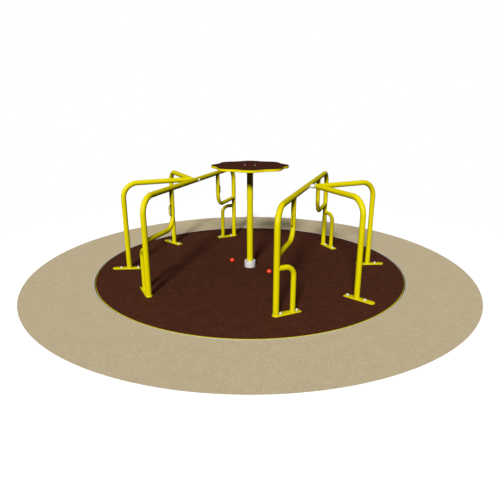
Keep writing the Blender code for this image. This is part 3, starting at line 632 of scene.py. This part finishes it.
# Distances from the leg along each plate: its round and its square end, then its two studs.
FEET = {"arch": ((-0.030, 0.215), (0.041, 0.188)), "stay": ((0.165, -0.110), (-0.086, 0.079))}
plate_low, plate_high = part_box("foot_plate_arch_right_front")
clamp_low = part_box("foot_clamp_arch_right_front")[0].z
for side, east in (("right", 1), ("left", -1)):
    x, leg_y, rail_z, foot_z = arches[side]
    stud_low, stud_high = clamp_low + STUD_SUNK, foot_z + STUD_PROUD
    shank = [(0, stud_low), (BOLT, stud_low), (BOLT, stud_high), (0, stud_high)]
    for end, north in (("front", -1), ("back", 1)):
        arch_turn = math.atan2(-north, east)
        stay_turn = math.atan2(north * math.sin(STAY_AZIMUTH), east * math.cos(STAY_AZIMUTH))
        stay_at = STAY_RADIUS * np.array([math.cos(stay_turn), math.sin(stay_turn)])
        for kind, spot, turn in (("arch", np.array([x, north * leg_y]), arch_turn),
                                 ("stay", stay_at, stay_turn)):
            place, (ends, bolts) = f"{kind}_{side}_{end}", FEET[kind]
            bar = flat_bar(ends, PLATE_WIDTH, plate_low.z, plate_high.z, spot, turn)
            piece(f"plate_{place}", [bar], YELLOW, "platform", "yellow_powder_coat",
                  f"foot_plate_{place}")
            ahead = np.array([math.cos(turn), math.sin(turn)])
            clamp_ends = (bolts[0] - CLAMP_BEYOND, bolts[1] + CLAMP_BEYOND)
            shells = [flat_bar(clamp_ends, CLAMP_WIDTH, clamp_low, clamp_low + CLAMP_THICK,
                               spot, turn)]
            for distance in bolts:
                centre = spot + distance * ahead
                shells.append(skin(turned(shank, full_turn(32), centre), columns_close=False))
                shells.append(dome_nut(centre, foot_z))
            piece(f"clamp_{place}", shells, SATIN_STEEL, "platform", "stainless_steel",
                  f"foot_clamp_{place}")

# ---- Red caps -------------------------------------------------------------------------------
# Two domed caps, injection moulded in red polyethylene. Each has a peg under it that is pushed
# into a hole of the deck, and closes off one of the points by which the platform is lifted.


def moulded_plastic(name, colour, deep):
    """Injection-moulded polyethylene: glossy, slightly waxy, with faint flow marks."""
    made, tree, shader, coords = finish(name)
    flow = add(tree, "ShaderNodeTexNoise", {"Vector": coords, "Scale": 120.0, "Detail": 2.0})
    mix = add(tree, "ShaderNodeMix", {FACTOR: flow.outputs["Fac"], FIRST: linear(colour),
                                      SECOND: linear(deep)}, data_type="RGBA")
    bump = add(tree, "ShaderNodeBump", {"Height": flow.outputs["Fac"], "Strength": 0.05,
                                        "Distance": 0.0003})
    tree.links.new(mix.outputs[MIXED], shader.inputs["Base Color"])
    tree.links.new(bump.outputs["Normal"], shader.inputs["Normal"])
    shader.inputs["Roughness"].default_value = 0.28
    return made


RED = moulded_plastic("red_moulded_polyethylene", "FF3A0A", "F02E06")
CAP_RADIUS, PEG_RADIUS, CAP_LIP, CAP_EDGE, CAP_GAP = 0.0225, 0.009, 0.003, 0.001, 0.0003
for side in ("right", "left"):
    low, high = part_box(f"access_cap_{side}")
    centre = ((low.x + high.x) / 2, (low.y + high.y) / 2)
    seat = deck_top + CAP_GAP
    t = np.linspace(0, math.pi / 2, 17)
    crown = seat + CAP_LIP + (high.z - seat - CAP_LIP) * np.sin(t)
    dome = np.stack([CAP_RADIUS * np.cos(t), crown], axis=1)
    under = [(0, low.z), (PEG_RADIUS - CAP_EDGE, low.z), (PEG_RADIUS, low.z + CAP_EDGE),
             (PEG_RADIUS, seat), (CAP_RADIUS - CAP_EDGE, seat), (CAP_RADIUS, seat + CAP_EDGE)]
    cap = turned(np.vstack([under, dome]), full_turn(64), centre)
    piece(f"cap_{side}", [skin(cap, columns_close=False)], RED, "platform", "red_plastic",
          f"access_cap_{side}")

# ---- Column and table -----------------------------------------------------------------------
# The column is a 60.3 mm tube that stands still on the spindle. A welded plate on it carries a
# lobed board of polyethylene: brown skins over a yellow core, which its milled edge lays bare.

COLUMN, COLUMN_BORE, COLUMN_FOOT, FOOT_HEIGHT = 0.03015, 0.02655, 0.044, 0.0057
column_low, column_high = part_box("column_tube")
foot_top = column_low.z + FOOT_HEIGHT
column_outline = soften([
    (COLUMN_BORE, column_low.z), (COLUMN_FOOT, column_low.z), (COLUMN_FOOT, foot_top),
    (COLUMN, foot_top), (COLUMN, column_high.z), (COLUMN_BORE, column_high.z),
], 0.0008)
piece("column", [skin(turned(column_outline, full_turn(96)))], YELLOW, "ground",
      "yellow_powder_coat", "column_tube")

board_low, board_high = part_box("table_board")
FLANGE_RADIUS, FLANGE_PLATE, FLANGE_EDGE, BOARD_GAP = 0.100, 0.006, 0.001, 0.0003
SOCKET_IN, SOCKET_OUT = 0.03075, 0.03575
plate_top = board_low.z - BOARD_GAP
plate_under = plate_top - FLANGE_PLATE
flange_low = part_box("table_flange")[0].z
socket_outline = [
    (0, plate_under), (SOCKET_IN, plate_under), (SOCKET_IN, flange_low),
    (SOCKET_OUT - FLANGE_EDGE, flange_low), (SOCKET_OUT, flange_low + FLANGE_EDGE),
    (SOCKET_OUT, plate_under), (FLANGE_RADIUS - FLANGE_EDGE, plate_under),
    (FLANGE_RADIUS, plate_under + FLANGE_EDGE), (FLANGE_RADIUS, plate_top), (0, plate_top),
]
piece("table_plate", [skin(turned(socket_outline, full_turn(96)), columns_close=False),
                      bead((0, 0, plate_under), (1, 0, 0), -UP, SOCKET_OUT)],
      YELLOW, "ground", "yellow_powder_coat")

LOBES, LOBE_TURN, TABLE_RADIUS, LOBE_DEPTH, EDGE = 8, math.radians(19.3), 0.350, 0.018, 0.0035
MIDDLE = 0.1                # radius of the first ring of points inside the edge
angle = full_turn(384)
edge_radius = TABLE_RADIUS + LOBE_DEPTH * np.cos(LOBES * angle)
t = np.linspace(0, math.pi / 2, 7)
inset = np.concatenate([[TABLE_RADIUS - MIDDLE], EDGE * (1 - np.sin(t)), EDGE * (1 - np.cos(t)),
                        [TABLE_RADIUS - MIDDLE]])
level = np.concatenate([[board_low.z], board_low.z + EDGE * (1 - np.cos(t)),
                        board_high.z - EDGE * (1 - np.sin(t)), [board_high.z]])
radii = edge_radius[None, :] - inset[:, None]
radii = np.vstack([0 * radii[:1], radii, 0 * radii[:1]])
level = np.concatenate([level[:1], level, level[-1:]])[:, None] + 0 * radii
board = np.stack([radii * np.cos(angle + LOBE_TURN), radii * np.sin(angle + LOBE_TURN), level],
                 axis=-1)
SHEET_SKIN, SKIN_BLUR = 0.0025, 0.0002


def sandwich_board():
    """Grained polyethylene sheet in two colours: brown skins 2.5 mm thick on a yellow core."""
    made, tree, shader, coords = finish("two_colour_polyethylene")
    height = add(tree, "ShaderNodeSeparateXYZ", {"Vector": coords}).outputs["Z"]
    middle = (board_low.z + board_high.z) / 2
    away = add(tree, "ShaderNodeMath", {0: height, 1: middle}, operation="SUBTRACT")
    away = add(tree, "ShaderNodeMath", {0: away.outputs[0]}, operation="ABSOLUTE")
    limit = (board_high.z - board_low.z) / 2 - SHEET_SKIN
    skin_mask = add(tree, "ShaderNodeMapRange", {"Value": away.outputs[0],
                                                 "From Min": limit - SKIN_BLUR,
                                                 "From Max": limit + SKIN_BLUR})
    cloud = add(tree, "ShaderNodeTexNoise", {"Vector": coords, "Scale": 14.0, "Detail": 5.0,
                                             "Roughness": 0.6})
    brown = add(tree, "ShaderNodeMix", {FACTOR: cloud.outputs["Fac"], FIRST: linear("2E140B"),
                                        SECOND: linear("452317")}, data_type="RGBA")
    colour = add(tree, "ShaderNodeMix", {FACTOR: skin_mask.outputs["Result"],
                                         FIRST: linear("C9BA00"),
                                         SECOND: brown.outputs[MIXED]}, data_type="RGBA")
    # Moulded grain is about 1 mm across.
    grain = add(tree, "ShaderNodeTexVoronoi", {"Vector": coords, "Scale": 900.0},
                feature="SMOOTH_F1")
    bump = add(tree, "ShaderNodeBump", {"Height": grain.outputs["Distance"], "Strength": 0.25,
                                        "Distance": 0.0004})
    tree.links.new(colour.outputs[MIXED], shader.inputs["Base Color"])
    tree.links.new(bump.outputs["Normal"], shader.inputs["Normal"])
    shader.inputs["Roughness"].default_value = 0.75
    shader.inputs["Specular IOR Level"].default_value = 0.05
    return made


piece("table_top", [skin(board, rows_close=False)], sandwich_board(), "ground", "table_board",
      "table_board")

TABLE_BOLT, BUTTON, BUTTON_RISE, BUTTON_BRIM = 0.048, 0.010, 0.0035, 0.001
STUD, STUD_BELOW = 0.004, 0.003
t = np.linspace(0, math.pi / 2, 9)
seat, stud_low = board_high.z + BOARD_GAP, plate_top - STUD_BELOW
crown = seat + BUTTON_BRIM + (BUTTON_RISE - BUTTON_BRIM) * np.sin(t)
button = np.vstack([[(0, stud_low), (STUD, stud_low), (STUD, seat), (BUTTON, seat)],
                    np.stack([BUTTON * np.cos(t), crown], axis=1)])
c, s = TABLE_BOLT * math.cos(LOBE_TURN), TABLE_BOLT * math.sin(LOBE_TURN)
shells = []
for i in (-1, 1):
    for j in (-1, 1):
        centre = (i * c - j * s, i * s + j * c)
        shells.append(skin(turned(button, full_turn(40), centre), columns_close=False))
piece("table_bolts", shells, ZINC, "ground", "stainless_steel", "table_flange")

# ---- Ground, light and camera ---------------------------------------------------------------
# The platform lies level with the ground, so the floor has a round hole for the pit: tan
# surfacing round the ring, then a plain white floor. A strong key stands in front, 30 degrees
# up, with a wide weak light overhead, and the world is white to look at.

SURFACING_RADIUS, FLOOR_RADIUS, PIT_MARGIN, PIT_FLOOR = 2.121, 3.4, 0.02, -0.0006
RING_CLEAR, SURFACING_DROP, FLOOR_DROP = 0.0005, 0.0005, 0.0010


def ground(name, radii, height, material):
    """A flat ring or disc of the set. It throws no light back up, so undersides stay dark."""
    outline = np.array([(radius, height) for radius in radii])
    points, quads = skin(turned(outline, full_turn(256)), columns_close=False)
    mesh = bpy.data.meshes.new(name)
    mesh.from_pydata(points.tolist(), [], quads.tolist())
    mesh.materials.append(material)
    made = bpy.data.objects.new(name, mesh)
    bpy.context.collection.objects.link(made)
    made.visible_diffuse = made.visible_glossy = False


def plain(name, colour, roughness):
    """A matt surface of one colour for the floor."""
    made, tree, shader, coords = finish(name)
    cloud = add(tree, "ShaderNodeTexNoise", {"Vector": coords, "Scale": 1.5})
    bump = add(tree, "ShaderNodeBump", {"Height": cloud.outputs["Fac"], "Strength": 0.02})
    tree.links.new(bump.outputs["Normal"], shader.inputs["Normal"])
    shader.inputs["Base Color"].default_value = linear(colour)
    shader.inputs["Roughness"].default_value = roughness
    return made


# The surfacing's granules are 1 to 4 mm across; they are drawn coarser, so that they show.
SAND = granulated_rubber("tan_surfacing", "A3967A", "B1A384", "BCAF90", granule_mm=6.0)
ground("surfacing", (RING_INSIDE + RING_LIP + RING_CLEAR, SURFACING_RADIUS),
       deck_top - SURFACING_DROP, SAND)
ground("floor", (SURFACING_RADIUS, FLOOR_RADIUS), deck_top - FLOOR_DROP,
       plain("pale_floor", "FFFFFF", 0.9))
ground("pit_floor", (0.0, RING_INSIDE + PIT_MARGIN), PIT_FLOOR, plain("concrete", "6E6C68", 0.9))


def sun(name, direction, strength, degrees):
    """A distant round light, seen from the object along direction and so many degrees across."""
    made = bpy.data.objects.new(name, bpy.data.lights.new(name, "SUN"))
    made.data.energy = strength
    made.data.angle = math.radians(degrees)
    bpy.context.collection.objects.link(made)
    x, y, z = np.array(direction) / np.linalg.norm(direction)
    made.rotation_euler = (math.acos(z), 0.0, math.atan2(x, -y))


sun("key", (0.105, -0.857, 0.505), 5.2, 10)
sun("overhead", (0.0, -0.2, 1.0), 1.0, 60)

world = bpy.data.worlds.new("studio")
world.use_nodes = True
bpy.context.scene.world = world
studio = world.node_tree
# White to look at, and softer where it lights or is mirrored, so that shadows stay deep.
seen = add(studio, "ShaderNodeLightPath").outputs["Is Camera Ray"]
strength = add(studio, "ShaderNodeMapRange", {"Value": seen, "To Min": 0.03, "To Max": 1.0})
studio.links.new(strength.outputs["Result"], studio.nodes["Background"].inputs["Strength"])
studio.nodes["Background"].inputs["Color"].default_value = (1.0, 1.0, 1.0, 1.0)
bpy.context.scene.view_settings.view_transform = "Standard"

EYE_HEIGHT, EYE_DISTANCE, LENS, SENSOR = 1.5416, 4.2459, 31.946, 36.0
EYE_AZIMUTH, EYE_PITCH = math.radians(19.395), math.radians(17.886)
camera = bpy.data.objects.new("camera", bpy.data.cameras.new("camera"))
camera.data.lens = LENS
camera.data.sensor_width = SENSOR
camera.location = (EYE_DISTANCE * math.sin(EYE_AZIMUTH), -EYE_DISTANCE * math.cos(EYE_AZIMUTH),
                   deck_top + EYE_HEIGHT)
camera.rotation_euler = (math.pi / 2 - EYE_PITCH, 0.0, EYE_AZIMUTH)
bpy.context.collection.objects.link(camera)
bpy.context.scene.camera = camera
